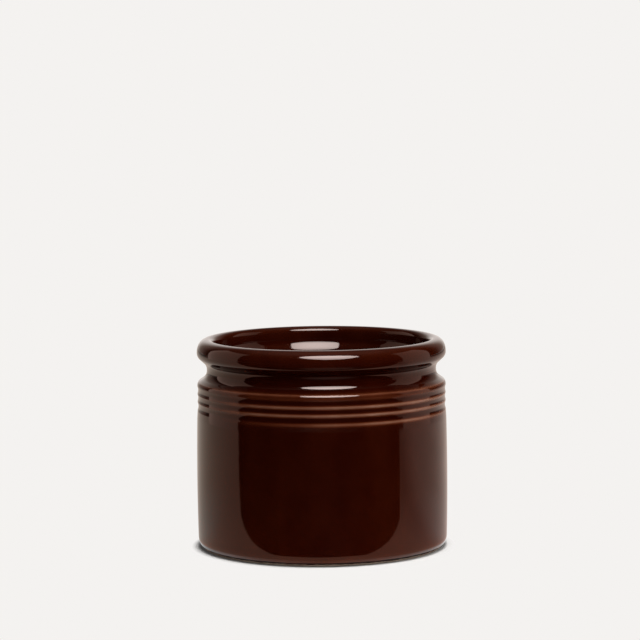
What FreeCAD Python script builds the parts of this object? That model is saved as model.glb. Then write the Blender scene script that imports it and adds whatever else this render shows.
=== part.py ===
import FreeCAD, Part
import math
import os

# Round storage jar of glazed stoneware: a straight body, three turned grooves below the shoulder,
# a narrow neck and a rolled rim. It is one piece of fired clay, turned about the Z axis.
# Millimetres, +Z up. The origin is the centre of the foot, on the surface the jar stands on.

# Overall size
RIM_TOP = 100.0             # height of the top of the rolled rim
BODY_RADIUS = 60.0          # widest part of the body
WALL = 5.2                  # thickness of the body wall
FLOOR = 6.8                 # height of the inside floor above the surface

# Foot ring and heel
FOOT_RADIUS = 57.3
FOOT_WIDTH = 3.4
FOOT_EDGE = 0.5             # rounding of the ring's two edges
FOOT_HEIGHT = 1.65          # clearance under the heel and under the base
FOOT_COVE = 0.4
HEEL_RADIUS = 58.75         # where the heel turns under
HEEL_EDGE = 0.7
HEEL_TOP = 4.0              # height at which the heel meets the wall
HEEL_CURVE = 7.0

# Body wall, very slightly barrelled
BELLY_HEIGHT = 33.0         # height of the widest part
BELLY_CURVE = 1200.0        # radius of the barrelling, seen from the side
BELLY_BOTTOM = 8.0          # the barrelling runs between these two heights
BELLY_TOP = 59.0
WALL_TOP = 62.0             # the wall starts to lean in here
WALL_TOP_CURVE = 40.0

# Grooves, from the lowest to the highest: shallow scallops with rounded ridges between them
GROOVE_START = 66.0
GROOVE_WIDTHS = (4.15, 3.75, 3.7)
RIDGE_RADIUS = 59.4
RIDGE_EDGE = 0.9
GROOVE_FLANK = math.radians(17.0)   # slope of a groove's sides
GROOVE_HOLLOW = 5.0                 # radius of a groove's hollow

# Shoulder and neck
SHOULDER_RADIUS = 59.42
SHOULDER_HEIGHT = 78.7
SHOULDER_CURVE = 3.2
SHOULDER_LEAN = math.radians(30.0)      # lean from upright, up to the brow
BROW_RADIUS = 58.86
BROW_EDGE = 0.8
BROW_LEAN = math.radians(54.5)          # lean from upright, between the brow and the neck
NECK_RADIUS = 54.8
NECK_LOWER_COVE = 4.6
NECK_UPPER_COVE = 4.5

# Rolled rim
RIM_RADIUS = 59.5
RIM_UNDERSIDE_SLOPE = math.radians(47.5)
RIM_UNDERSIDE_HEIGHT = 91.9     # where the underside would meet the rim's outer face
RIM_LOWER_CURVE = 3.5
RIM_OUTER_SLOPE = math.radians(22.0)
RIM_OUTER_HEIGHT = 95.3         # where the outer face starts to lean in
RIM_OUTER_CURVE = 9.0
RIM_TOP_CURVE = 4.9
MOUTH_RADIUS = 51.4
RIM_INNER_CURVE = 2.8

# Inside
LEDGE_HEIGHT = 92.9         # the inner face of the rim ends here and the throat slopes in
LEDGE_COVE = 6.5
THROAT_SLOPE = math.radians(25.0)
THROAT_RADIUS = 49.05
THROAT_CURVE = 10.0
THROAT_BOTTOM = 83.0        # the throat opens out again below this
THROAT_LOWER_CURVE = 5.0
FLARE_SLOPE = math.radians(52.0)
CAVITY_TOP_CURVE = 5.0
CAVITY_FLOOR_CURVE = 6.5


def lean(start, slope, radius):
    """Height at which a line from start, leaning from upright by slope, reaches a radius."""
    start_radius, start_height = start[:2]
    rise = (radius - start_radius) / math.tan(slope)
    return start_height + rise


def wall_tangent(touching, height):
    """Radius, at a height, of the line that touches the barrelled wall at another height."""
    slope = (BELLY_HEIGHT - touching) / BELLY_CURVE
    touching_radius = BODY_RADIUS - slope ** 2 * BELLY_CURVE / 2
    return touching_radius + slope * (height - touching)


def foot_corners():
    """The underside, the foot ring and the heel, as (radius, height, rounding)."""
    ring_inside = FOOT_RADIUS - FOOT_WIDTH
    return [
        (0.0, FOOT_HEIGHT, 0.0),
        (ring_inside, FOOT_HEIGHT, FOOT_COVE),
        (ring_inside, 0.0, FOOT_EDGE),
        (FOOT_RADIUS, 0.0, FOOT_EDGE),
        (FOOT_RADIUS, FOOT_HEIGHT, FOOT_COVE),
        (HEEL_RADIUS, FOOT_HEIGHT, HEEL_EDGE),
        (wall_tangent(BELLY_BOTTOM, HEEL_TOP), HEEL_TOP, HEEL_CURVE),
    ]


def wall_corners():
    """The barrelled wall, up to where it leans in towards the grooves."""
    middle = (BELLY_BOTTOM + BELLY_TOP) / 2
    return [
        (wall_tangent(BELLY_BOTTOM, middle), middle, BELLY_CURVE),
        (wall_tangent(BELLY_TOP, WALL_TOP), WALL_TOP, WALL_TOP_CURVE),
    ]


def groove_corners():
    """The edge of the body, then each groove's hollow and the ridge above it."""
    corners = [(RIDGE_RADIUS, GROOVE_START, RIDGE_EDGE)]
    height = GROOVE_START
    for width in GROOVE_WIDTHS:
        hollow_depth = width / 2 * math.tan(GROOVE_FLANK)
        corners.append((RIDGE_RADIUS - hollow_depth, height + width / 2, GROOVE_HOLLOW))
        height += width
        corners.append((RIDGE_RADIUS, height, RIDGE_EDGE))
    return corners


def shoulder_and_neck_corners():
    """The shoulder's curve, the brow above it, and the neck between its two coves."""
    shoulder = (SHOULDER_RADIUS, SHOULDER_HEIGHT, SHOULDER_CURVE)
    brow = (BROW_RADIUS, lean(shoulder, -SHOULDER_LEAN, BROW_RADIUS), BROW_EDGE)
    neck_bottom = lean(brow, -BROW_LEAN, NECK_RADIUS)
    rim_lower = (RIM_RADIUS, RIM_UNDERSIDE_HEIGHT, RIM_LOWER_CURVE)
    neck_top = lean(rim_lower, RIM_UNDERSIDE_SLOPE, NECK_RADIUS)
    return [
        shoulder,
        brow,
        (NECK_RADIUS, neck_bottom, NECK_LOWER_COVE),
        (NECK_RADIUS, neck_top, NECK_UPPER_COVE),
        rim_lower,
    ]


def rim_corners():
    """The outer face, top and inner face of the rolled rim."""
    outer_fall = (RIM_TOP - RIM_OUTER_HEIGHT) * math.tan(RIM_OUTER_SLOPE)
    return [
        (RIM_RADIUS, RIM_OUTER_HEIGHT, RIM_OUTER_CURVE),
        (RIM_RADIUS - outer_fall, RIM_TOP, RIM_TOP_CURVE),
        (MOUTH_RADIUS, RIM_TOP, RIM_INNER_CURVE),
    ]


def inside_corners():
    """The ledge under the rim, the throat, the cavity and its floor."""
    cavity_radius = BODY_RADIUS - WALL
    ledge = (MOUTH_RADIUS, LEDGE_HEIGHT, LEDGE_COVE)
    throat_bottom = (THROAT_RADIUS, THROAT_BOTTOM, THROAT_LOWER_CURVE)
    return [
        ledge,
        (THROAT_RADIUS, lean(ledge, THROAT_SLOPE, THROAT_RADIUS), THROAT_CURVE),
        throat_bottom,
        (cavity_radius, lean(throat_bottom, -FLARE_SLOPE, cavity_radius), CAVITY_TOP_CURVE),
        (cavity_radius, FLOOR, CAVITY_FLOOR_CURVE),
        (0.0, FLOOR, 0.0),
    ]


def rounded_outline(corners):
    """Edges through the corners in the XZ plane, each corner rounded by a tangent arc."""
    points = [FreeCAD.Vector(radius, 0, height) for radius, height, rounding in corners]
    edges = []
    last = points[0]
    for before, corner, after, (_, _, rounding) in zip(points, points[1:], points[2:], corners[1:]):
        back = (before - corner).normalize()
        ahead = (after - corner).normalize()
        half_angle = back.getAngle(ahead) / 2
        reach = rounding / math.tan(half_angle)
        bisector = (back + ahead).normalize()
        arc_start = corner + back * reach
        arc_middle = corner + bisector * (rounding / math.sin(half_angle) - rounding)
        arc_end = corner + ahead * reach
        room = (last - corner).dot(back) - reach
        if room < 0:
            raise ValueError(f"no room for the rounding at {corner}: short by {-room:.3f} mm")
        edges.append(Part.LineSegment(last, arc_start).toShape())
        edges.append(Part.Arc(arc_start, arc_middle, arc_end).toShape())
        last = arc_end
    edges.append(Part.LineSegment(last, points[-1]).toShape())
    return edges


def jar():
    """The whole jar: its section turned once round the axis."""
    corners = (foot_corners() + wall_corners() + groove_corners() + shoulder_and_neck_corners()
               + rim_corners() + inside_corners())
    edges = rounded_outline(corners)
    base_on_axis = FreeCAD.Vector(0, 0, FOOT_HEIGHT)
    floor_on_axis = FreeCAD.Vector(0, 0, FLOOR)
    edges.append(Part.LineSegment(floor_on_axis, base_on_axis).toShape())
    section = Part.Face(Part.Wire(edges))
    return section.revolve(FreeCAD.Vector(0, 0, 0), FreeCAD.Vector(0, 0, 1), 360)


def main():
    os.makedirs("parts", exist_ok=True)
    shape = jar()
    shape.exportStep("parts/jar.step")
    print("volume mm3", round(shape.Volume), "valid", shape.isValid())
    print("box", shape.optimalBoundingBox())


main()
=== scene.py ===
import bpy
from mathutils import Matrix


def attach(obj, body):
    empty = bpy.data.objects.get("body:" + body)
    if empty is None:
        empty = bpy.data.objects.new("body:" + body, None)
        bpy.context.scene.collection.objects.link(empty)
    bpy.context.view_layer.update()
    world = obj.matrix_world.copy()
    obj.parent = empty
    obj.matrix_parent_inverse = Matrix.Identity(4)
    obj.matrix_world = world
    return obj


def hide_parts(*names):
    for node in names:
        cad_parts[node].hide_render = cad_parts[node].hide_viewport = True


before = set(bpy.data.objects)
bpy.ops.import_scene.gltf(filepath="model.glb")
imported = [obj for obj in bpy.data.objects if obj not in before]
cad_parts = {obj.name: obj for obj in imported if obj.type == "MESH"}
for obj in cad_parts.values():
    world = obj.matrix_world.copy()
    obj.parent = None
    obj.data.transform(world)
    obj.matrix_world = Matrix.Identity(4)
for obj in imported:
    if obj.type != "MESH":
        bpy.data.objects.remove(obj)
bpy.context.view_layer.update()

import math
import bpy
from mathutils import Euler, Vector

# Looks of a glazed stoneware storage jar. Metres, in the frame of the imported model:
# +Z up, the origin under the centre of the foot ring, and -Y towards the camera.

MM = 0.001


# ---------------------------------------------------------------- shares and stops

def share_between(low, high, value):
    """How far a value is on the way from low to high, from 0 to 1."""
    return min(1.0, max(0.0, (value - low) / (high - low)))


def mixed(first, second, share):
    """A colour or a number between two others."""
    if isinstance(first, tuple):
        return tuple(a + (b - a) * share for a, b in zip(first, second))
    return first + (second - first) * share


def between(stops, place):
    """Colour or number at a place, from (place, value) stops in rising order."""
    if place <= stops[0][0]:
        return stops[0][1]
    for (low, first), (high, second) in zip(stops, stops[1:]):
        if place <= high:
            return mixed(first, second, (place - low) / (high - low))
    return stops[-1][1]


def scaled(colour, share):
    return tuple(part * share for part in colour)


# ---------------------------------------------------------------- the jar's section

# The same driving sizes as the construction, in millimetres.
RIM_TOP, BODY_RADIUS, WALL, FLOOR = 100.0, 60.0, 5.2, 6.8
FOOT_RADIUS, FOOT_WIDTH, FOOT_EDGE, FOOT_HEIGHT, FOOT_COVE = 57.3, 3.4, 0.5, 1.65, 0.4
HEEL_RADIUS, HEEL_EDGE, HEEL_TOP, HEEL_CURVE = 58.75, 0.7, 4.0, 7.0
BELLY_HEIGHT, BELLY_CURVE, BELLY_BOTTOM, BELLY_TOP = 33.0, 1200.0, 8.0, 59.0
WALL_TOP, WALL_TOP_CURVE = 62.0, 40.0
GROOVE_START, GROOVE_WIDTHS, RIDGE_RADIUS, RIDGE_EDGE = 66.0, (4.15, 3.75, 3.7), 59.4, 0.9
GROOVE_FLANK, GROOVE_HOLLOW = math.radians(17.0), 5.0
SHOULDER_RADIUS, SHOULDER_HEIGHT, SHOULDER_CURVE = 59.42, 78.7, 3.2
SHOULDER_LEAN, BROW_RADIUS, BROW_EDGE = math.radians(30.0), 58.86, 0.8
BROW_LEAN = math.radians(54.5)
NECK_RADIUS, NECK_LOWER_COVE, NECK_UPPER_COVE = 54.8, 4.6, 4.5
RIM_RADIUS, RIM_UNDERSIDE_SLOPE, RIM_UNDERSIDE_HEIGHT = 59.5, math.radians(47.5), 91.9
RIM_LOWER_CURVE, RIM_OUTER_SLOPE, RIM_OUTER_HEIGHT = 3.5, math.radians(22.0), 95.3
RIM_OUTER_CURVE, RIM_TOP_CURVE, MOUTH_RADIUS, RIM_INNER_CURVE = 9.0, 4.9, 51.4, 2.8
LEDGE_HEIGHT, LEDGE_COVE, THROAT_SLOPE = 92.9, 6.5, math.radians(25.0)
THROAT_RADIUS, THROAT_CURVE, THROAT_BOTTOM, THROAT_LOWER_CURVE = 49.05, 10.0, 83.0, 5.0
FLARE_SLOPE, CAVITY_TOP_CURVE, CAVITY_FLOOR_CURVE = math.radians(52.0), 5.0, 6.5


def lean(start, slope, radius):
    """Height at which a line from start, leaning from upright by slope, reaches a radius."""
    return start[1] + (radius - start[0]) / math.tan(slope)


def wall_tangent(touching, height):
    """Radius, at a height, of the line that touches the barrelled wall at another height."""
    slope = (BELLY_HEIGHT - touching) / BELLY_CURVE
    touching_radius = BODY_RADIUS - slope ** 2 * BELLY_CURVE / 2
    return touching_radius + slope * (height - touching)


def section_corners():
    """The closed section from the base to the inside floor, as (radius, height, rounding)."""
    ring_inside = FOOT_RADIUS - FOOT_WIDTH
    belly_middle = (BELLY_BOTTOM + BELLY_TOP) / 2
    corners = [
        (0.0, FOOT_HEIGHT, 0.0),
        (ring_inside, FOOT_HEIGHT, FOOT_COVE),
        (ring_inside, 0.0, FOOT_EDGE),
        (FOOT_RADIUS, 0.0, FOOT_EDGE),
        (FOOT_RADIUS, FOOT_HEIGHT, FOOT_COVE),
        (HEEL_RADIUS, FOOT_HEIGHT, HEEL_EDGE),
        (wall_tangent(BELLY_BOTTOM, HEEL_TOP), HEEL_TOP, HEEL_CURVE),
        (wall_tangent(BELLY_BOTTOM, belly_middle), belly_middle, BELLY_CURVE),
        (wall_tangent(BELLY_TOP, WALL_TOP), WALL_TOP, WALL_TOP_CURVE),
        (RIDGE_RADIUS, GROOVE_START, RIDGE_EDGE),
    ]
    height = GROOVE_START
    for width in GROOVE_WIDTHS:
        hollow_depth = width / 2 * math.tan(GROOVE_FLANK)
        corners.append((RIDGE_RADIUS - hollow_depth, height + width / 2, GROOVE_HOLLOW))
        height += width
        corners.append((RIDGE_RADIUS, height, RIDGE_EDGE))
    shoulder = (SHOULDER_RADIUS, SHOULDER_HEIGHT, SHOULDER_CURVE)
    brow = (BROW_RADIUS, lean(shoulder, -SHOULDER_LEAN, BROW_RADIUS), BROW_EDGE)
    rim_lower = (RIM_RADIUS, RIM_UNDERSIDE_HEIGHT, RIM_LOWER_CURVE)
    outer_fall = (RIM_TOP - RIM_OUTER_HEIGHT) * math.tan(RIM_OUTER_SLOPE)
    ledge = (MOUTH_RADIUS, LEDGE_HEIGHT, LEDGE_COVE)
    throat_bottom = (THROAT_RADIUS, THROAT_BOTTOM, THROAT_LOWER_CURVE)
    cavity_radius = BODY_RADIUS - WALL
    return corners + [
        shoulder,
        brow,
        (NECK_RADIUS, lean(brow, -BROW_LEAN, NECK_RADIUS), NECK_LOWER_COVE),
        (NECK_RADIUS, lean(rim_lower, RIM_UNDERSIDE_SLOPE, NECK_RADIUS), NECK_UPPER_COVE),
        rim_lower,
        (RIM_RADIUS, RIM_OUTER_HEIGHT, RIM_OUTER_CURVE),
        (RIM_RADIUS - outer_fall, RIM_TOP, RIM_TOP_CURVE),
        (MOUTH_RADIUS, RIM_TOP, RIM_INNER_CURVE),
        ledge,
        (THROAT_RADIUS, lean(ledge, THROAT_SLOPE, THROAT_RADIUS), THROAT_CURVE),
        throat_bottom,
        (cavity_radius, lean(throat_bottom, -FLARE_SLOPE, cavity_radius), CAVITY_TOP_CURVE),
        (cavity_radius, FLOOR, CAVITY_FLOOR_CURVE),
        (0.0, FLOOR, 0.0),
    ]


# Spacing of the section's points, in millimetres and in turn along an arc. The wide faces of the
# wall, the base and the inside are sparser than the worked band between these two heights.
FINE_BAND = (63.5, 101.0)
FINE_STEP, COARSE_STEP = 0.45, 2.4
ARC_TURN = math.radians(6.0)


def section_points():
    """Points along the rounded section, each (radius, height, normal, bend): normal is the
    outward direction as (radius, height), and bend is 1/radius of the rounding in 1/mm, above
    zero where the clay bulges and below zero where it is hollow."""
    corners = section_corners()
    spots = [Vector(corner[:2]) for corner in corners]
    points = []
    last = spots[0]

    def step_length(height):
        return FINE_STEP if FINE_BAND[0] < height < FINE_BAND[1] else COARSE_STEP

    def run(start, end):
        direction = (end - start).normalized()
        normal = Vector((direction.y, -direction.x))
        length = (end - start).length
        count = max(1, math.ceil(length / step_length((start.y + end.y) / 2)))
        for step in range(count):
            points.append((start.lerp(end, step / count), normal, 0.0))

    for before, corner, after, (_, _, rounding) in zip(spots, spots[1:], spots[2:], corners[1:]):
        back = (before - corner).normalized()
        ahead = (after - corner).normalized()
        half_angle = back.angle(ahead) / 2
        reach = rounding / math.tan(half_angle)
        arc_start = corner + back * reach
        run(last, arc_start)
        centre = corner + (back + ahead).normalized() * (rounding / math.sin(half_angle))
        turn = math.pi - 2 * half_angle
        side = 1 if back.cross(ahead) < 0 else -1
        spacing = step_length(corner.y)
        count = max(2, math.ceil(turn / ARC_TURN), math.ceil(turn * rounding / spacing))
        spoke = arc_start - centre
        for step in range(count):
            angle = side * turn * step / count
            turned = Vector((spoke.x * math.cos(angle) - spoke.y * math.sin(angle),
                             spoke.x * math.sin(angle) + spoke.y * math.cos(angle)))
            points.append((centre + turned, turned.normalized() * side, side / rounding))
        last = corner + ahead * reach
    run(last, spots[-1])
    points.append((spots[-1], Vector((0.0, 1.0)), 0.0))
    return points


# ---------------------------------------------------------------- the jar's mesh

SEGMENTS = 240
# The foot ring is wiped clean of glaze below this height and beyond this radius, in millimetres.
BARE_HEIGHT = 0.6
BARE_RADIUS = FOOT_RADIUS - FOOT_WIDTH - 1.0

# How deep the glaze lies, where 1 is its depth on the open wall. It draws back from sharp edges,
# gathers in hollows, and is made thinner, so lighter, on the top of the rim where it faces outward
# and on the heel. Millimetres.
EDGE_BLUR = 0.66            # over which edges and hollows tell on the glaze, along the section
BLUR_REACH = 4              # times the blur: what lies farther off doesn't tell
EDGE_LIMIT = 0.32           # 1/mm: bends gentler than this lose no glaze
EDGE_FULL = 0.20            # 1/mm past the limit at which an edge has lost all that it can
EDGE_GAIN = ((66.8, 2.2), (67.6, 1.0), (76.0, 1.0), (77.0, 0.8))     # by height
# What the edges lose differs round the jar, by azimuth: on the body's upper edge, on the ridges up
# to the brow, and on the brow and the rim. These stops carry painted light: the edges thin more, so
# look lighter, towards the front and the right, where the lamps fall, and less on the left and
# behind.
BODY_EDGE_TOP, RIDGES_TOP = 67.6, 78.5
BODY_EDGE_LOSS_AND_SIDE_LIGHT = ((-180.0, 0.30), (-50.0, 0.10), (0.0, 0.65), (40.0, 0.80), (180.0, 0.30))
RIDGE_LOSS_AND_SIDE_LIGHT = ((-180.0, 0.65), (-50.0, 0.50), (-30.0, 0.75), (40.0, 0.88), (180.0, 0.65))
BROW_LOSS_AND_SIDE_LIGHT = ((-180.0, 0.65), (0.0, 0.76), (180.0, 0.65))
HOLLOW_BEND = 0.2           # 1/mm
HOLLOW_GAIN = 0.12
RIM_LOSS, RIM_THIN_HEIGHTS = 0.15, (94.0, 99.5)
RIM_OUTWARD = (-0.6, 0.4)   # how far a face looks outward: none is lost before, all of it after
HEEL_LOSS = ((1.6, 0.0), (2.0, 0.34), (5.0, 0.0))      # by height


def glaze_depths(points):
    """The glaze at each point: its depth away from edges, and how much of an edge the point is.
    The heel counts as gentle: glaze runs down to it."""
    along = [0.0]
    for (spot, _, _), (ahead, _, _) in zip(points, points[1:]):
        along.append(along[-1] + (ahead - spot).length)
    depths = []
    for here, ((_, height), normal, _) in zip(along, points):
        sharp, hollow = 0.0, 0.0
        for index in range(len(points) - 1):
            offset = ((along[index] + along[index + 1]) / 2 - here) / EDGE_BLUR
            (_, place), _, bend = points[index]
            if abs(offset) < BLUR_REACH and place > HEEL_TOP:
                weight = math.exp(-offset * offset / 2) * (along[index + 1] - along[index])
                weight /= EDGE_BLUR * math.sqrt(2 * math.pi)
                sharp += weight * max(0.0, bend - EDGE_LIMIT)
                hollow += weight * share_between(0.0, -HOLLOW_BEND, bend)
        edge = share_between(0.0, EDGE_FULL, sharp * between(EDGE_GAIN, height))
        outward = share_between(*RIM_OUTWARD, normal.x)
        rim_thinning = RIM_LOSS * share_between(*RIM_THIN_HEIGHTS, height) * outward
        heel_thinning = between(HEEL_LOSS, height)
        depths.append((1.0 + HOLLOW_GAIN * hollow - max(rim_thinning, heel_thinning), edge))
    return depths


def edge_losses_and_side_light(height):
    """What the edges at a height lose, as stops by azimuth, with painted light in them: more
    towards the lit front and right.
    """
    if height < BODY_EDGE_TOP:
        return BODY_EDGE_LOSS_AND_SIDE_LIGHT
    return RIDGE_LOSS_AND_SIDE_LIGHT if height < RIDGES_TOP else BROW_LOSS_AND_SIDE_LIGHT


def turned_faces(rings):
    """Faces between the rings of points, each joined to the next, and round again."""
    return [(below + step, below + (step + 1) % SEGMENTS,
             below + SEGMENTS + (step + 1) % SEGMENTS, below + SEGMENTS + step)
            for below in range(0, (rings - 1) * SEGMENTS, SEGMENTS) for step in range(SEGMENTS)]


def turned_mesh(name, points):
    """A closed mesh of the points turned about Z, with the section's own normals and, on each
    vertex, the depth of the glaze, thinner on edges towards the lit front and right as painted
    light, and whether the clay is bare."""
    verts, normals, depths, bare = [], [], [], []
    for (spot, normal, _), (depth, edge) in zip(points[1:-1], glaze_depths(points)[1:-1]):
        losses_and_side_light = edge_losses_and_side_light(spot.y)
        is_bare = 1.0 if spot.y < BARE_HEIGHT and spot.x > BARE_RADIUS else 0.0
        for step in range(SEGMENTS):
            angle = 2 * math.pi * step / SEGMENTS
            across, along = math.cos(angle), math.sin(angle)
            verts.append((spot.x * across * MM, spot.x * along * MM, spot.y * MM))
            normals.append((normal.x * across, normal.x * along, normal.y))
            # Painted light: by azimuth, the edges lose more glaze, and so look lighter, towards the
            # front and the right.
            azimuth = math.degrees(math.atan2(across, -along))
            depths.append(depth - edge * between(losses_and_side_light, azimuth))
            bare.append(is_bare)
    rings = len(points) - 2
    faces = turned_faces(rings)
    # The middles of the base and of the inside floor, on the axis.
    for (spot, _, _), first, up in ((points[0], 0, -1), (points[-1], (rings - 1) * SEGMENTS, 1)):
        centre = len(verts)
        verts.append((0.0, 0.0, spot.y * MM))
        normals.append((0.0, 0.0, float(up)))
        depths.append(1.0)
        bare.append(0.0)
        for step in range(SEGMENTS):
            pair = (first + step, first + (step + 1) % SEGMENTS)
            faces.append((*pair[::up], centre))
    mesh = bpy.data.meshes.new(name)
    mesh.from_pydata(verts, [], faces)
    mesh.polygons.foreach_set("use_smooth", [True] * len(mesh.polygons))
    for attribute, values in (("glaze_depth_and_light", depths), ("bare_clay", bare)):
        mesh.attributes.new(attribute, "FLOAT", "POINT").data.foreach_set("value", values)
    mesh.update()
    mesh.normals_split_custom_set_from_vertices(normals)
    return mesh


# ---------------------------------------------------------------- shader helpers

def add(tree, kind, inputs=None, **settings):
    """A new shader node; an input is given by name or number, as a value or a socket to join."""
    node = tree.nodes.new("ShaderNode" + kind)
    for setting, value in settings.items():
        setattr(node, setting, value)
    for key, value in (inputs or {}).items():
        if isinstance(value, bpy.types.NodeSocket):
            tree.links.new(value, node.inputs[key])
        else:
            node.inputs[key].default_value = value
    return node


def math_node(tree, operation, first, second):
    return add(tree, "Math", {0: first, 1: second}, operation=operation).outputs[0]


def remap(tree, value, low, high, new_low=0.0, new_high=1.0, smooth=False):
    """The value carried over from between low and high to between two others, and kept there."""
    kind = "SMOOTHSTEP" if smooth else "LINEAR"
    return add(tree, "MapRange", {"Value": value, "From Min": low, "From Max": high,
                                  "To Min": new_low, "To Max": new_high},
               interpolation_type=kind).outputs[0]


NOISE_SPAN = (0.3, 0.7)     # most of what a noise gives lies between these


def noise(tree, where, scale, detail=3.0, roughness=0.5, stretch=None):
    """Noise from 0 to 1 in object space; scale is in lumps per metre."""
    if stretch:
        where = add(tree, "Mapping", {"Vector": where, "Scale": stretch}).outputs[0]
    return add(tree, "TexNoise", {"Vector": where, "Scale": scale, "Detail": detail,
                                  "Roughness": roughness}).outputs[0]


def spread(tree, value, low, high):
    """Noise stretched so that most of it lies between low and high."""
    return remap(tree, value, *NOISE_SPAN, low, high)


def blend_colour(tree, factor, first, second):
    """A colour from the first at 0 to the second at 1; each is a colour or a socket."""
    node = add(tree, "Mix", data_type="RGBA")
    tree.links.new(factor, node.inputs[0])
    for index, value in ((6, first), (7, second)):
        if isinstance(value, bpy.types.NodeSocket):
            tree.links.new(value, node.inputs[index])
        else:
            node.inputs[index].default_value = (*value, 1.0)
    return node.outputs[2]


def new_tree(owner):
    """The emptied node tree of a material or a world."""
    owner.use_nodes = True
    owner.node_tree.nodes.clear()
    return owner.node_tree


# ---------------------------------------------------------------- glaze and clay

# Brown glaze is a clear amber layer over pale clay: colour falls off with depth in each channel.
CLAY_UNDER_GLAZE = (0.30, 0.195, 0.16)
GLAZE_ABSORPTION = (2.80, 4.65, 6.0)
LUSTRE = (1.0, 0.82, 0.76)          # the iron in it warms what it mirrors
# The colours are laid out from no glaze to this depth, in so many stops.
DEEPEST_GLAZE, GLAZE_STOPS = 1.25, 7

# What varies over the surface, in lumps or cells per metre: the depth of the glaze by shares of
# it, its surface by heights in millimetres, and its roughness. Spots are sized by their cells,
# as how far from its middle a spot starts and how far it is full.
WANDER_SCALE, WANDER_DEPTH = 55.0, 0.05
STREAK_SCALE, STREAK_DEPTH, STREAK_STRETCH = 90.0, 0.04, (1.0, 1.0, 0.22)
PEEL_SCALE, PEEL_HEIGHT = 420.0, 0.006
RIPPLE_SCALE, RIPPLE_HEIGHT = 110.0, 0.02
PIT_SCALE, PIT_SIZE, PIT_DEPTH = 160.0, (0.07, 0.035), 0.12
PIT_CHOICE_SCALE, PIT_CHOICE = 260.0, (0.66, 0.70)      # only a few of the pits are kept
SMEAR_SCALE, GLAZE_ROUGHNESS = 38.0, (0.045, 0.075)

# Fired clay, bare on the foot ring: buff, speckled with iron, matt and slightly gritty.
CLAY_DARK, CLAY_LIGHT, CLAY_SPECK = (0.22, 0.17, 0.13), (0.30, 0.235, 0.185), (0.10, 0.05, 0.03)
CLAY_PATCH_SCALE, SPECK_SCALE, SPECK_SIZE = 140.0, 700.0, (0.22, 0.12)
GRIT_SCALE, GRIT_HEIGHT, CLAY_ROUGHNESS = 1900.0, 0.08, (0.72, 0.92)
WIPED_SCALE, WIPED_WANDER, WIPED_EDGE = 300.0, 0.25, (0.4, 0.6)


def glaze_colour(depth):
    """Colour of the clay seen through glaze of a depth, where 1 is the depth on a flat wall."""
    return tuple(clay * math.exp(-take * depth)
                 for clay, take in zip(CLAY_UNDER_GLAZE, GLAZE_ABSORPTION))


def round_spots(tree, where, scale, size):
    """Round spots, one in each cell, from 0 outside them to 1 at their middles."""
    cells = add(tree, "TexVoronoi", {"Vector": where, "Scale": scale}, feature="F1")
    return remap(tree, cells.outputs["Distance"], *size)


def glaze_coat(tree, where):
    """Shader of the glaze, coloured by how deep it lies on the clay."""
    # The depth of the glaze wanders a little everywhere, in lumps and in runs down the wall.
    # The depth also carries painted light: the edges are thinner, so lighter, towards the front and
    # the right.
    laid = add(tree, "Attribute", attribute_name="glaze_depth_and_light").outputs["Fac"]
    wander = noise(tree, where, WANDER_SCALE, 4.0, 0.55)
    streak = noise(tree, where, STREAK_SCALE, 3.0, 0.5, STREAK_STRETCH)
    depth = math_node(tree, "ADD", laid, spread(tree, wander, -WANDER_DEPTH, WANDER_DEPTH))
    depth = math_node(tree, "ADD", depth, spread(tree, streak, -STREAK_DEPTH, STREAK_DEPTH))
    ramp = add(tree, "ValToRGB", {"Fac": remap(tree, depth, 0.0, DEEPEST_GLAZE)})
    elements = ramp.color_ramp.elements
    for index in range(GLAZE_STOPS):
        place = index / (GLAZE_STOPS - 1)
        element = elements[index] if index < 2 else elements.new(place)
        element.position = place
    for element in elements:
        element.color = (*glaze_colour(element.position * DEEPEST_GLAZE), 1.0)

    # Fine surface: faint orange peel, slow ripples and a few pinholes.
    peel = math_node(tree, "MULTIPLY", noise(tree, where, PEEL_SCALE, 2.0), PEEL_HEIGHT)
    ripple = math_node(tree, "MULTIPLY", noise(tree, where, RIPPLE_SCALE, 2.0), RIPPLE_HEIGHT)
    kept = remap(tree, noise(tree, where, PIT_CHOICE_SCALE, 1.0), *PIT_CHOICE)
    pit = math_node(tree, "MULTIPLY", round_spots(tree, where, PIT_SCALE, PIT_SIZE), kept)
    height = math_node(tree, "SUBTRACT", math_node(tree, "ADD", peel, ripple),
                       math_node(tree, "MULTIPLY", pit, PIT_DEPTH))
    bump = add(tree, "Bump", {"Strength": 1.0, "Distance": MM, "Height": height})

    # Wiping marks in the gloss.
    smear = noise(tree, where, SMEAR_SCALE, 5.0, 0.6)
    return add(tree, "BsdfPrincipled", {
        "Base Color": ramp.outputs["Color"], "Roughness": spread(tree, smear, *GLAZE_ROUGHNESS),
        "IOR": 1.5, "Specular Tint": (*LUSTRE, 1.0), "Normal": bump.outputs[0]}).outputs[0]


def bare_clay(tree, where):
    """Shader of the fired clay."""
    grit = noise(tree, where, GRIT_SCALE, 3.0, 0.6)
    patches = noise(tree, where, CLAY_PATCH_SCALE, 4.0, 0.6)
    clay = blend_colour(tree, spread(tree, patches, 0.0, 1.0), CLAY_DARK, CLAY_LIGHT)
    speck = round_spots(tree, where, SPECK_SCALE, SPECK_SIZE)
    clay = blend_colour(tree, speck, clay, CLAY_SPECK)
    bump = add(tree, "Bump", {"Strength": 0.7, "Distance": GRIT_HEIGHT * MM, "Height": grit})
    return add(tree, "BsdfPrincipled", {
        "Base Color": clay, "Roughness": spread(tree, grit, *CLAY_ROUGHNESS),
        "IOR": 1.45, "Normal": bump.outputs[0]}).outputs[0]


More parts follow.
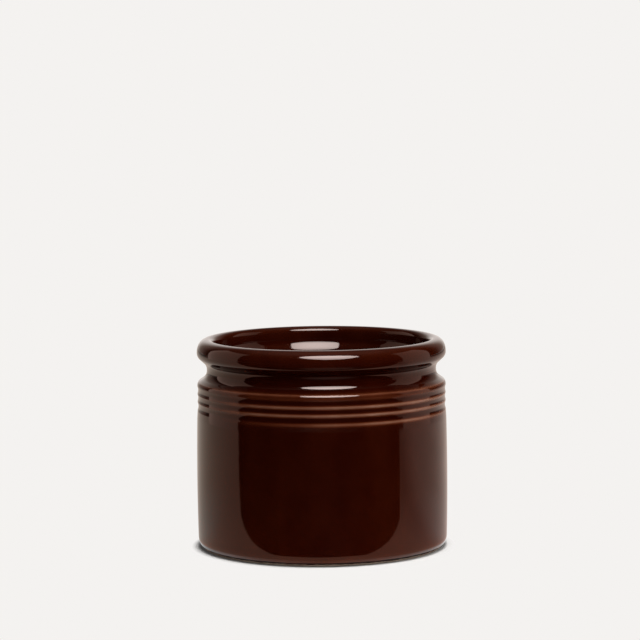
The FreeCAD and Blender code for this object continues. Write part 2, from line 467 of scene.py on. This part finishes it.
def make_glaze():
    """The jar's one material: glaze, and bare clay where it is wiped off."""
    material = bpy.data.materials.new("glazed_stoneware")
    tree = new_tree(material)
    where = add(tree, "TexCoord").outputs["Object"]
    # The wiped edge of the glaze wanders a little round the foot.
    bare = add(tree, "Attribute", attribute_name="bare_clay").outputs["Fac"]
    wander = spread(tree, noise(tree, where, WIPED_SCALE), -WIPED_WANDER, WIPED_WANDER)
    wiped = remap(tree, math_node(tree, "ADD", bare, wander), *WIPED_EDGE)
    surface = add(tree, "MixShader", {0: wiped, 1: glaze_coat(tree, where),
                                      2: bare_clay(tree, where)})
    add(tree, "OutputMaterial", {"Surface": surface.outputs[0]})
    return material


def make_jar():
    body = bpy.data.objects.new("jar_body", turned_mesh("jar_body", section_points()))
    body.data.materials.append(make_glaze())
    bpy.context.scene.collection.objects.link(body)
    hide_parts("jar")
    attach(body, "root")


# ---------------------------------------------------------------- the studio

PAGE = (0.905, 0.888, 0.871)        # colour of the floor and of the background
ROOM_LIGHT = 0.3                    # strength of the light that comes from all round

# The floor, by distance from the axis: painted shade under the heel, then lit and shaded by the
# jar, with its lit colour painted a little darker there, and giving way to the plain colour of the
# page. It throws little light back beyond the board.
FLOOR_REACH, FLOOR_LEVEL = 6.0, -0.00002
HEEL_SHADE_ENDS, PAINTED_SHADE_UNDER_HEEL = (0.0586, 0.0602), (0.20, 0.19, 0.18)
SHADE_FROM, SHADE_TO, FLOOR_SHADE = 0.0592, 0.0634, 0.97
SHADED_BOARD = (0.76, 0.745, 0.73)
BOARD_ENDS, BEYOND_BOARD = (0.075, 0.12), (0.25, 0.22, 0.20)


def seen_directly(tree):
    """1 for camera rays and for reflected and refracted rays, else 0."""
    path = add(tree, "LightPath").outputs
    some = math_node(tree, "MAXIMUM", path["Is Camera Ray"], path["Is Glossy Ray"])
    return math_node(tree, "MAXIMUM", some, path["Is Transmission Ray"])


def make_world():
    world = bpy.data.worlds.new("studio")
    bpy.context.scene.world = world
    tree = new_tree(world)
    page = add(tree, "Background", {"Color": (*PAGE, 1.0), "Strength": 1.0})
    room = add(tree, "Background", {"Color": (1.0, 1.0, 1.0, 1.0), "Strength": ROOM_LIGHT})
    either = add(tree, "MixShader", {0: seen_directly(tree), 1: room.outputs[0],
                                     2: page.outputs[0]})
    add(tree, "OutputWorld", {"Surface": either.outputs[0]})


def make_floor():
    """White table, whose lit colour shows only round the jar, where its shadow falls; that lit
    colour is painted darker there, most of all under the heel.
    """
    reach = FLOOR_REACH
    mesh = bpy.data.meshes.new("floor")
    mesh.from_pydata([(-reach, -reach, 0), (reach, -reach, 0), (reach, reach, 0),
                      (-reach, reach, 0)], [], [(0, 1, 2, 3)])
    floor = bpy.data.objects.new("floor", mesh)
    bpy.context.scene.collection.objects.link(floor)
    floor.location.z = FLOOR_LEVEL
    material = bpy.data.materials.new("floor")
    tree = new_tree(material)
    where = add(tree, "TexCoord").outputs["Object"]
    away = add(tree, "VectorMath", {0: where}, operation="LENGTH").outputs["Value"]
    # Painted shade: the lit colour is darker round the jar and darkest under the heel.
    colour = blend_colour(tree, remap(tree, away, *BOARD_ENDS), SHADED_BOARD, BEYOND_BOARD)
    colour = blend_colour(tree, remap(tree, away, *HEEL_SHADE_ENDS), PAINTED_SHADE_UNDER_HEEL, colour)
    lit = add(tree, "BsdfDiffuse", {"Color": colour})
    plain = add(tree, "Emission", {"Color": (*PAGE, 1.0), "Strength": 1.0})
    shaded = remap(tree, away, SHADE_FROM, SHADE_TO, FLOOR_SHADE, 0.0, smooth=True)
    share = math_node(tree, "SUBTRACT", 1.0, shaded)
    share = math_node(tree, "MULTIPLY", seen_directly(tree), share)
    either = add(tree, "MixShader", {0: share, 1: lit.outputs[0], 2: plain.outputs[0]})
    add(tree, "OutputMaterial", {"Surface": either.outputs[0]})
    mesh.materials.append(material)


def glow_material(name):
    """Light given off as the mesh's own glow attribute says."""
    material = bpy.data.materials.new(name)
    tree = new_tree(material)
    glow = add(tree, "Attribute", attribute_name="glow").outputs["Color"]
    light = add(tree, "Emission", {"Color": glow, "Strength": 1.0})
    add(tree, "OutputMaterial", {"Surface": light.outputs[0]})
    return material


def make_card(name, verts, faces, material):
    """A studio card that shows only in reflections."""
    mesh = bpy.data.meshes.new(name)
    mesh.from_pydata(verts, [], faces)
    mesh.materials.append(material)
    card = bpy.data.objects.new(name, mesh)
    bpy.context.scene.collection.objects.link(card)
    card.visible_camera = False
    card.visible_diffuse = False
    card.visible_shadow = False
    card.visible_transmission = False
    return card


def make_glowing_card(name, verts, faces, glow):
    """A card that gives off light; glow is a colour for each vertex."""
    card = make_card(name, verts, faces, glow_material(name))
    colours = card.data.attributes.new("glow", "FLOAT_COLOR", "POINT")
    colours.data.foreach_set("color", [part for colour in glow for part in (*colour, 1.0)])


def grid_faces(columns, rows):
    """Faces of a grid whose vertices run up each of its columns in turn."""
    return [(low, low + 1, low + rows + 1, low + rows)
            for column in range(columns - 1)
            for low in range(column * rows, (column + 1) * rows - 1)]


def compass(azimuth, distance, height=0.0):
    """A place round the jar; azimuth is in degrees from the camera's side towards the right."""
    angle = math.radians(azimuth)
    return (distance * math.sin(angle), -distance * math.cos(angle), height)


def aloft(azimuth, rise, distance):
    """A place round the jar, at a rise in degrees as seen from its foot."""
    angle = math.radians(rise)
    return compass(azimuth, distance * math.cos(angle), distance * math.sin(angle))


PANEL_DISTANCE, PANEL_ENDS = 0.75, (0.002, 0.70)        # its foot and its top
PANEL_STEP = 3                      # degrees
LEFT_PANEL = ((-124.0, (0.90, 0.64, 0.54)), (-114.0, (0.66, 0.46, 0.38)),
              (-80.0, (0.55, 0.38, 0.31)))
RIGHT_PANEL = ((77.0, (0.55, 0.38, 0.31)), (115.0, (0.74, 0.50, 0.42)))


def make_panel(name, stops):
    """A standing panel bent round part of the jar; its glow follows the stops by azimuth."""
    first, last = stops[0][0], stops[-1][0]
    count = math.ceil((last - first) / PANEL_STEP)
    azimuths = [first + (last - first) * step / count for step in range(count + 1)]
    verts = [compass(azimuth, PANEL_DISTANCE, height)
             for azimuth in azimuths for height in PANEL_ENDS]
    glow = [between(stops, azimuth) for azimuth in azimuths for _ in PANEL_ENDS]
    make_glowing_card(name, verts, grid_faces(len(azimuths), len(PANEL_ENDS)), glow)


DARK = (0.0, 0.0, 0.0)

# The board the jar stands on ends in a straight line just in front of it, and wide dark ground
# begins there; at the sides the bright ground goes on, in a straight line each. Metres.
BOARD_LEFT, BOARD_RIGHT = (-0.148, -0.0655), (0.135, -0.0745)
GROUND_LEFT, GROUND_RIGHT = (-4.0, -0.534), (4.0, -1.11)

# What the jar's sides mirror, by azimuth: the board close to the jar, and the ground far from it.
# Both are paler behind the jar and warmer at its sides.
PALE_BEHIND = (0.58, 0.50, 0.44)
NEAR_GLOW = ((-100.0, PALE_BEHIND), (-85.0, (0.65, 0.42, 0.33)), (60.0, (0.85, 0.46, 0.35)),
             (80.0, (0.62, 0.36, 0.30)), (100.0, (0.80, 0.62, 0.56)), (180.0, PALE_BEHIND))
FAR_GLOW = ((-150.0, (0.66, 0.56, 0.48)), (-120.0, (0.58, 0.43, 0.34)), (-80.0, (0.57, 0.36, 0.28)),
            (72.0, (0.34, 0.20, 0.16)), (88.0, (0.70, 0.46, 0.38)), (115.0, (0.60, 0.44, 0.37)),
            (140.0, (0.82, 0.64, 0.56)), (180.0, (0.62, 0.54, 0.47)))
NEAR, FAR = 0.09, 0.25              # distances from the axis that the two sets are for
# Farther off still, between two more distances, the glow falls to a share of itself, which goes
# by how many degrees the place is away from the front.
FADED_FROM, FADED_TO = 0.7, 1.3
FADED = ((125.0, 0.08), (150.0, 0.3), (165.0, 1.0))
# The places across the ground, close together near the jar: shares of the way along each side,
# and depths behind the front of the ground.
SIDE_STEPS, FRONT_STEPS, SIDE_POWER = 140, 60, 3
GROUND_DEPTHS = (0.0, 0.015, 0.03, 0.05, 0.08, 0.12, 0.18, 0.3, 0.5, 0.9, 1.6, 4.0)

# Heights of the cards that lie on the floor, the dark ground lowest.
FRONT_LEVEL, GROUND_LEVEL, KERB_LEVEL = 0.0006, 0.0008, 0.0009

# The board right beside the heel, mirrored in the heel's edge: a painted shadow under it, where the
# heel's shade falls, then this glow.
KERB_GLOW = ((-65.0, (0.75, 0.75, 0.75)), (-48.0, (1.15, 1.10, 1.10)), (0.0, (0.85, 0.52, 0.42)),
             (40.0, (1.20, 1.12, 1.10)), (100.0, (0.90, 0.90, 0.90)))
# Its rings, as (distance, kind): kind goes from dark at 0, the painted shadow, to its own glow at 1
# and to the glow of the ground at 2.
KERB_RINGS = ((0.050, 0.0), (0.0583, 0.0), (0.0588, 1.0), (0.0601, 1.0), (0.0618, 2.0))
KERB_STEP = 3                       # degrees

# The dark ground is polished, and reaches this far out at these azimuths.
FRONT_REACH, FRONT_AZIMUTHS = 5.0, (75, 60, 40, 20, 0, -20, -40, -60, -80)


def ground_glow(x, y):
    """Glow of the ground at a place."""
    azimuth, distance = math.degrees(math.atan2(x, -y)), math.hypot(x, y)
    near, far = between(NEAR_GLOW, azimuth), between(FAR_GLOW, azimuth)
    glow = mixed(near, far, share_between(NEAR, FAR, distance))
    left = between(FADED, abs(azimuth))
    return scaled(glow, mixed(1.0, left, share_between(FADED_FROM, FADED_TO, distance)))


def front_edge():
    """Places along the front of the bright ground, closer together near the jar."""
    left, right = Vector(BOARD_LEFT), Vector(BOARD_RIGHT)
    shares = [(step / SIDE_STEPS) ** SIDE_POWER for step in range(1, SIDE_STEPS + 1)]
    places = [left.lerp(Vector(GROUND_LEFT), share) for share in reversed(shares)]
    places += [left.lerp(right, step / FRONT_STEPS) for step in range(FRONT_STEPS + 1)]
    places += [right.lerp(Vector(GROUND_RIGHT), share) for share in shares]
    return places


def make_ground():
    """What the glaze mirrors of the board and of the ground beside it."""
    places = front_edge()
    verts = [(place.x, place.y + depth, GROUND_LEVEL)
             for place in places for depth in GROUND_DEPTHS]
    glow = [ground_glow(x, y) for x, y, _ in verts]
    make_glowing_card("ground", verts, grid_faces(len(places), len(GROUND_DEPTHS)), glow)


def make_kerb():
    """The board close round the foot, seen only in reflections: painted shadow under the heel,
    bright beside it, then as the rest.
    """
    azimuths = range(-180, 181, KERB_STEP)
    verts, glow = [], []
    for azimuth in azimuths:
        beside = between(KERB_GLOW, azimuth)
        for distance, kind in KERB_RINGS:
            x, y, height = compass(azimuth, distance, KERB_LEVEL)
            # Kind 0 is the painted shadow under the heel.
            kinds = ((0.0, DARK), (1.0, beside), (2.0, ground_glow(x, y)))
            verts.append((x, y, height))
            glow.append(between(kinds, kind))
    make_glowing_card("kerb", verts, grid_faces(len(azimuths), len(KERB_RINGS)), glow)


def make_front_ground():
    """The polished black ground in front of the board, which mirrors the lights itself."""
    edge = [(*spot, FRONT_LEVEL) for spot in (GROUND_LEFT, BOARD_LEFT, BOARD_RIGHT, GROUND_RIGHT)]
    edge += [compass(azimuth, FRONT_REACH, FRONT_LEVEL) for azimuth in FRONT_AZIMUTHS]
    material = bpy.data.materials.new("front_ground")
    tree = new_tree(material)
    black = add(tree, "BsdfPrincipled", {
        "Base Color": (*DARK, 1.0), "Roughness": 0.22, "IOR": 1.35,
        "Specular Tint": (1.0, 0.6, 0.5, 1.0)})
    add(tree, "OutputMaterial", {"Surface": black.outputs[0]})
    make_card("front_ground", edge, [tuple(range(len(edge)))], material)


# The room by degrees up, and its pale backdrop by degrees aside from straight behind.
CEILING = ((30.0, DARK), (50.0, (0.05, 0.03, 0.025)), (66.0, (0.20, 0.13, 0.11)),
           (80.0, (0.30, 0.21, 0.18)))
BACKDROP = ((10.0, (1.05, 0.96, 0.91)), (17.0, (0.75, 0.66, 0.60)), (26.0, (0.37, 0.28, 0.23)),
            (40.0, (0.20, 0.12, 0.10)), (46.0, (0.07, 0.04, 0.03)), (54.0, DARK))
BACKDROP_FADES = ((24.0, 1.0), (30.0, 0.7), (36.0, 0.4), (44.0, 0.15), (52.0, 0.0))
ROOM_RADIUS, ROOM_STEP = 5.5, 2     # metres and degrees
ROOM_RISES = (-2, 2, 6, 10, 14, 18, 22, 26, 30, 34, 38, 42, 46, 52, 58, 66, 73, 80, 89.9)


def make_room():
    """The room round the studio: dark walls, a dim ceiling and the pale backdrop."""
    azimuths = range(-180, 181, ROOM_STEP)
    verts, glow = [], []
    for azimuth in azimuths:
        backdrop = between(BACKDROP, 180.0 - abs(azimuth))
        for rise in ROOM_RISES:
            faded = scaled(backdrop, between(BACKDROP_FADES, rise))
            verts.append(aloft(azimuth, rise, ROOM_RADIUS))
            glow.append(tuple(a + b for a, b in zip(faded, between(CEILING, rise))))
    make_glowing_card("room", verts, grid_faces(len(azimuths), len(ROOM_RISES)), glow)


SOFTBOX_AZIMUTH, SOFTBOX_RISE, SOFTBOX_DISTANCE = 8.5, 48.0, 1.2
SOFTBOX_HALF_WIDTH, SOFTBOX_HALF_HEIGHT = 0.48, 0.36
SOFTBOX_BOTTOM_GLOW, SOFTBOX_TOP_GLOW = 9.5, 18.0
SOFTBOX_EDGE = 0.72                 # its edge's share of the glow at the middle
SOFTBOX_RINGS, SOFTBOX_SIDES = 5, 48


def make_softbox():
    """A glowing card for the main light, above and beside the camera, shown only in reflections: it
    gives the glaze its highlights, and the lamps light the jar in its place. Oval and brighter
    towards its top.
    """
    towards = Vector(aloft(SOFTBOX_AZIMUTH, SOFTBOX_RISE, 1.0))
    across = Vector(compass(SOFTBOX_AZIMUTH + 90, 1.0))
    up = towards.cross(across)
    verts, glow, faces = [], [], []
    for ring in range(SOFTBOX_RINGS + 1):
        reach = ring / SOFTBOX_RINGS
        for side in range(SOFTBOX_SIDES):
            angle = 2 * math.pi * side / SOFTBOX_SIDES
            x, y = reach * math.cos(angle), reach * math.sin(angle)
            aside = across * x * SOFTBOX_HALF_WIDTH + up * y * SOFTBOX_HALF_HEIGHT
            verts.append(tuple(towards * SOFTBOX_DISTANCE + aside))
            level = mixed(SOFTBOX_BOTTOM_GLOW, SOFTBOX_TOP_GLOW, (y + 1) / 2)
            level *= 1 - (1 - SOFTBOX_EDGE) * reach ** 2
            glow.append((level, level, level))
    for ring in range(SOFTBOX_RINGS):
        for side in range(SOFTBOX_SIDES):
            low = ring * SOFTBOX_SIDES + side
            beside = ring * SOFTBOX_SIDES + (side + 1) % SOFTBOX_SIDES
            faces.append((low, beside, beside + SOFTBOX_SIDES, low + SOFTBOX_SIDES))
    make_glowing_card("softbox", verts, faces, glow)


# Each lamp's name, azimuth, rise, distance, size and power, in degrees, metres and watts.
LAMPS = (
    ("key", 20.0, 45.0, 1.2, 0.8, 12.0),
    ("right_fill", 80.0, 42.0, 1.2, 0.5, 6.4),
)


def make_lamp(name, azimuth, rise, distance, size, power):
    """A round lamp aimed at the jar that lights it without being mirrored in it."""
    data = bpy.data.lights.new(name, "AREA")
    data.shape = "DISK"
    data.size = size
    data.energy = power
    lamp = bpy.data.objects.new(name, data)
    place = Vector(aloft(azimuth, rise, distance))
    lamp.location = place
    lamp.rotation_euler = place.to_track_quat("Z", "Y").to_euler()
    lamp.visible_camera = False
    lamp.visible_glossy = False
    bpy.context.scene.collection.objects.link(lamp)


# ---------------------------------------------------------------- the camera

CAMERA_DISTANCE, CAMERA_HEIGHT = 1.326, 0.2453
CAMERA_DIP, CAMERA_TURN, CAMERA_ROLL = math.radians(5.89), math.radians(0.02), math.radians(0.5)
CAMERA_LENS, CAMERA_SENSOR = 157.0, 36.0        # millimetres
CAMERA_CLIP = (0.05, 20.0)


def make_camera():
    data = bpy.data.cameras.new("camera")
    data.lens = CAMERA_LENS
    data.sensor_width = CAMERA_SENSOR
    data.clip_start, data.clip_end = CAMERA_CLIP
    camera = bpy.data.objects.new("camera", data)
    bpy.context.scene.collection.objects.link(camera)
    camera.location = (0.0, -CAMERA_DISTANCE, CAMERA_HEIGHT)
    look = Euler((math.pi / 2 - CAMERA_DIP, 0.0, CAMERA_TURN), "XYZ").to_matrix()
    roll = Euler((0.0, 0.0, -CAMERA_ROLL), "XYZ").to_matrix()
    camera.rotation_euler = (look @ roll).to_euler()
    bpy.context.scene.camera = camera


def main():
    make_jar()
    make_world()
    make_floor()
    make_ground()
    make_kerb()
    make_front_ground()
    make_panel("left_panel", LEFT_PANEL)
    make_panel("right_panel", RIGHT_PANEL)
    make_room()
    make_softbox()
    for lamp in LAMPS:
        make_lamp(*lamp)
    make_camera()
    bpy.context.scene.view_settings.view_transform = "Standard"


main()
